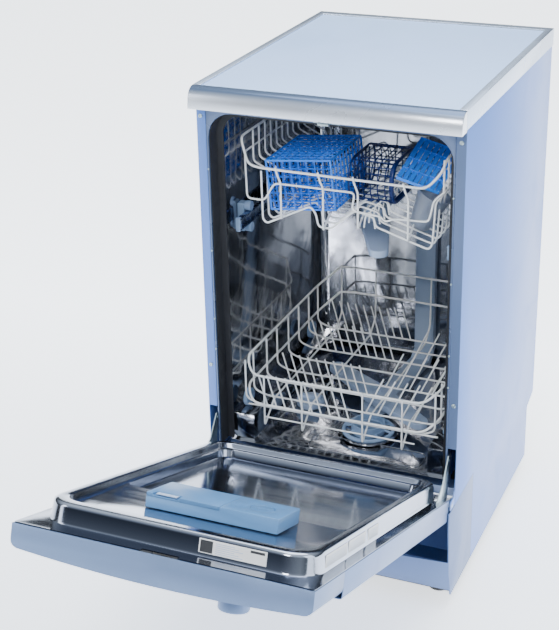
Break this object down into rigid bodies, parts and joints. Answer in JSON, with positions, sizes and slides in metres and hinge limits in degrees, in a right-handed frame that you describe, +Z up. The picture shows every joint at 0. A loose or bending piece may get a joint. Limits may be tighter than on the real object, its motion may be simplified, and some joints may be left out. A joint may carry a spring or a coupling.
{
  "type": "slimline dishwasher",
  "caption": "Free-standing slimline dishwasher with a drop-down door, two wire baskets on rollers, cutlery baskets, spray arms, filter and height-adjustable feet.",
  "frame": {"origin": "floor level, at the centre of the box of the whole machine with its door part open as drawn", "axes": "+Z up, +X to the right-hand side seen from the front, +Y from the door towards the rear panel"},
  "size_m": [0.446, 1.1646, 0.87],
  "materials": {
    "silver_paint": "pale blue-silver enamel",
    "silver_plastic": "pale blue-silver moulding",
    "worktop_laminate": "fine-grained pale laminate",
    "stainless_steel": "polished stainless sheet",
    "zinc_plate": "zinc plated",
    "black_rubber": "soft black rubber",
    "coated_wire": "white plastic-coated wire",
    "pale_plastic": "pale blue plastic",
    "grey_blue_plastic": "grey-blue plastic",
    "bright_blue_plastic": "bright blue plastic",
    "deep_blue_plastic": "dark blue plastic",
    "clear_plastic": "translucent plastic",
    "black_plastic": "black plastic"
  },
  "bodies": {
    "cabinet": {"worktop_panel": "worktop_laminate", "worktop_frame": "silver_paint", "worktop_front_trim": "silver_paint", "left_side_panel": "silver_paint", "right_side_panel": "silver_paint", "rear_panel": "zinc_plate", "base_tray": "black_plastic", "plinth": "silver_plastic", "tub": "stainless_steel", "tub_front_frame": "stainless_steel", "door_gasket": "black_rubber", "door_strike": "zinc_plate", "sump": "grey_blue_plastic", "filter_plate": "pale_plastic", "wash_pump": "black_plastic", "drain_pump": "black_plastic", "water_softener": "grey_blue_plastic", "inlet_valve": "pale_plastic", "cord_gland": "black_plastic", "feed_duct": "grey_blue_plastic", "door_spring_left": "zinc_plate", "door_spring_right": "zinc_plate"},
    "hinge_rod": {"hinge_rod": "zinc_plate"},
    "door": {"door_outer_panel": "silver_paint", "door_inner_liner": "stainless_steel", "control_panel": "silver_plastic", "dispenser_body": "pale_plastic", "hinge_arm_left": "zinc_plate", "hinge_arm_right": "zinc_plate", "door_latch": "black_plastic"},
    "lower_basket": {"lower_basket": "coated_wire"},
    "upper_basket": {"upper_basket": "coated_wire", "upper_manifold": "grey_blue_plastic", "cutlery_basket": "bright_blue_plastic", "small_cutlery_basket": "deep_blue_plastic", "cutlery_grid": "bright_blue_plastic", "salt_funnel": "clear_plastic"},
    "upper_rails": {"rail_left": "stainless_steel", "rail_right": "stainless_steel"},
    "program_knob": {"program_knob": "silver_plastic"},
    "power_button": {"power_button": "pale_plastic"},
    "start_button": {"start_button": "pale_plastic"},
    "dispenser_lid": {"dispenser_lid": "pale_plastic"},
    "rinse_aid_cap": {"rinse_aid_cap": "pale_plastic"},
    "wheel_front_left": {"wheel_front_left": "pale_plastic"},
    "wheel_front_right": {"wheel_front_right": "pale_plastic"},
    "wheel_rear_left": {"wheel_rear_left": "pale_plastic"},
    "wheel_rear_right": {"wheel_rear_right": "pale_plastic"},
    "roller_top_left": {"roller_top_left": "pale_plastic"},
    "roller_top_right": {"roller_top_right": "pale_plastic"},
    "roller_bottom_left": {"roller_bottom_left": "pale_plastic"},
    "roller_bottom_right": {"roller_bottom_right": "pale_plastic"},
    "upper_spray_arm": {"upper_spray_arm": "grey_blue_plastic"},
    "lower_spray_arm": {"lower_spray_arm": "grey_blue_plastic"},
    "filter_cylinder": {"filter_cylinder": "pale_plastic"},
    "salt_cap": {"salt_cap": "grey_blue_plastic"},
    "foot_front_left": {"foot_front_left": "black_plastic"},
    "foot_front_right": {"foot_front_right": "black_plastic"},
    "foot_rear_left": {"foot_rear_left": "black_plastic"},
    "foot_rear_right": {"foot_rear_right": "black_plastic"}
  },
  "joints": [
    {"name": "door_lie_flat", "type": "hinge", "parent": "cabinet", "child": "hinge_rod", "pos_m": [0, 0.02428, 0.2025], "axis": [1, 0, 0], "range_deg": [0, 19.5]},
    {"name": "door_hinge", "type": "hinge", "parent": "hinge_rod", "child": "door", "pos_m": [0, 0.02428, 0.2025], "axis": [1, 0, 0], "range_deg": [-70.5, 0]},
    {"name": "lower_basket_slide", "type": "slide", "parent": "cabinet", "child": "lower_basket", "axis": [0, -1, 0], "range_m": [0, 0.4]},
    {"name": "wheel_front_left_spin", "type": "hinge", "parent": "lower_basket", "child": "wheel_front_left", "pos_m": [-0.1845, 0.12028, 0.2828], "axis": [1, 0, 0], "continuous": true},
    {"name": "wheel_rear_left_spin", "type": "hinge", "parent": "lower_basket", "child": "wheel_rear_left", "pos_m": [-0.1845, 0.41928, 0.2828], "axis": [1, 0, 0], "continuous": true},
    {"name": "wheel_front_right_spin", "type": "hinge", "parent": "lower_basket", "child": "wheel_front_right", "pos_m": [0.1845, 0.12028, 0.2828], "axis": [1, 0, 0], "continuous": true},
    {"name": "wheel_rear_right_spin", "type": "hinge", "parent": "lower_basket", "child": "wheel_rear_right", "pos_m": [0.1845, 0.41928, 0.2828], "axis": [1, 0, 0], "continuous": true},
    {"name": "upper_basket_slide", "type": "slide", "parent": "cabinet", "child": "upper_basket", "axis": [0, -1, 0], "range_m": [0, 0.4]},
    {"name": "upper_rails_slide", "type": "slide", "parent": "cabinet", "child": "upper_rails", "axis": [0, -1, 0], "range_m": [0, 0.2]},
    {"name": "roller_top_left_spin", "type": "hinge", "parent": "cabinet", "child": "roller_top_left", "pos_m": [-0.1875, 0.14328, 0.6346], "axis": [1, 0, 0], "continuous": true},
    {"name": "roller_bottom_left_spin", "type": "hinge", "parent": "cabinet", "child": "roller_bottom_left", "pos_m": [-0.1875, 0.14328, 0.597], "axis": [1, 0, 0], "continuous": true},
    {"name": "roller_top_right_spin", "type": "hinge", "parent": "cabinet", "child": "roller_top_right", "pos_m": [0.1875, 0.14328, 0.6346], "axis": [1, 0, 0], "continuous": true},
    {"name": "roller_bottom_right_spin", "type": "hinge", "parent": "cabinet", "child": "roller_bottom_right", "pos_m": [0.1875, 0.14328, 0.597], "axis": [1, 0, 0], "continuous": true},
    {"name": "upper_spray_arm_spin", "type": "hinge", "parent": "upper_basket", "child": "upper_spray_arm", "pos_m": [0, 0.26328, 0.5938], "axis": [0, 0, 1], "continuous": true},
    {"name": "lower_spray_arm_spin", "type": "hinge", "parent": "cabinet", "child": "lower_spray_arm", "pos_m": [0.005, 0.26628, 0.244], "axis": [0, 0, 1], "continuous": true},
    {"name": "filter_turn", "type": "hinge", "parent": "cabinet", "child": "filter_cylinder", "pos_m": [0.02, 0.17928, 0.22], "axis": [0, 0, 1], "range_deg": [0, 90]},
    {"name": "salt_cap_unscrew", "type": "hinge", "parent": "cabinet", "child": "salt_cap", "pos_m": [-0.115, 0.24228, 0.22], "axis": [0, 0, 1], "continuous": true},
    {"name": "program_knob_turn", "type": "hinge", "parent": "door", "child": "program_knob", "pos_m": [0.09, -0.52785, 0.36513], "axis": [0, 0.3338, 0.9426], "continuous": true},
    {"name": "power_button_press", "type": "slide", "parent": "door", "child": "power_button", "axis": [0, 0.3338, 0.9426], "range_m": [0, 0.003], "stiffness_N_per_m": 400, "springref_m": -0.002},
    {"name": "start_button_press", "type": "slide", "parent": "door", "child": "start_button", "axis": [0, 0.3338, 0.9426], "range_m": [0, 0.003], "stiffness_N_per_m": 400, "springref_m": -0.002},
    {"name": "dispenser_lid_hinge", "type": "hinge", "parent": "door", "child": "dispenser_lid", "pos_m": [-0.092, -0.34882, 0.39063], "axis": [-1, 0, 0], "range_deg": [0, 100]},
    {"name": "rinse_aid_cap_turn", "type": "hinge", "parent": "door", "child": "rinse_aid_cap", "pos_m": [0.068, -0.38799, 0.39835], "axis": [0, 0.3338, 0.9426], "range_deg": [0, 90]},
    {"name": "foot_front_left_height", "type": "slide", "parent": "cabinet", "child": "foot_front_left", "axis": [0, 0, -1], "range_m": [-0.018, 0.01]},
    {"name": "foot_front_right_height", "type": "slide", "parent": "cabinet", "child": "foot_front_right", "axis": [0, 0, -1], "range_m": [-0.018, 0.01]},
    {"name": "foot_rear_left_height", "type": "slide", "parent": "cabinet", "child": "foot_rear_left", "axis": [0, 0, -1], "range_m": [-0.018, 0.01]},
    {"name": "foot_rear_right_height", "type": "slide", "parent": "cabinet", "child": "foot_rear_right", "axis": [0, 0, -1], "range_m": [-0.018, 0.01]}
  ],
  "couplings": [
    {"joint": "door_lie_flat", "follows": "lower_basket_slide", "rad_per_m": 0.8505},
    {"joint": "wheel_front_left_spin", "follows": "lower_basket_slide", "rad_per_m": 62.5},
    {"joint": "wheel_rear_left_spin", "follows": "lower_basket_slide", "rad_per_m": 62.5},
    {"joint": "wheel_front_right_spin", "follows": "lower_basket_slide", "rad_per_m": 62.5},
    {"joint": "wheel_rear_right_spin", "follows": "lower_basket_slide", "rad_per_m": 62.5},
    {"joint": "upper_rails_slide", "follows": "upper_basket_slide", "ratio": 0.5},
    {"joint": "roller_top_left_spin", "follows": "upper_basket_slide", "rad_per_m": -58.824},
    {"joint": "roller_bottom_left_spin", "follows": "upper_basket_slide", "rad_per_m": 58.824},
    {"joint": "roller_top_right_spin", "follows": "upper_basket_slide", "rad_per_m": -58.824},
    {"joint": "roller_bottom_right_spin", "follows": "upper_basket_slide", "rad_per_m": 58.824}
  ]
}
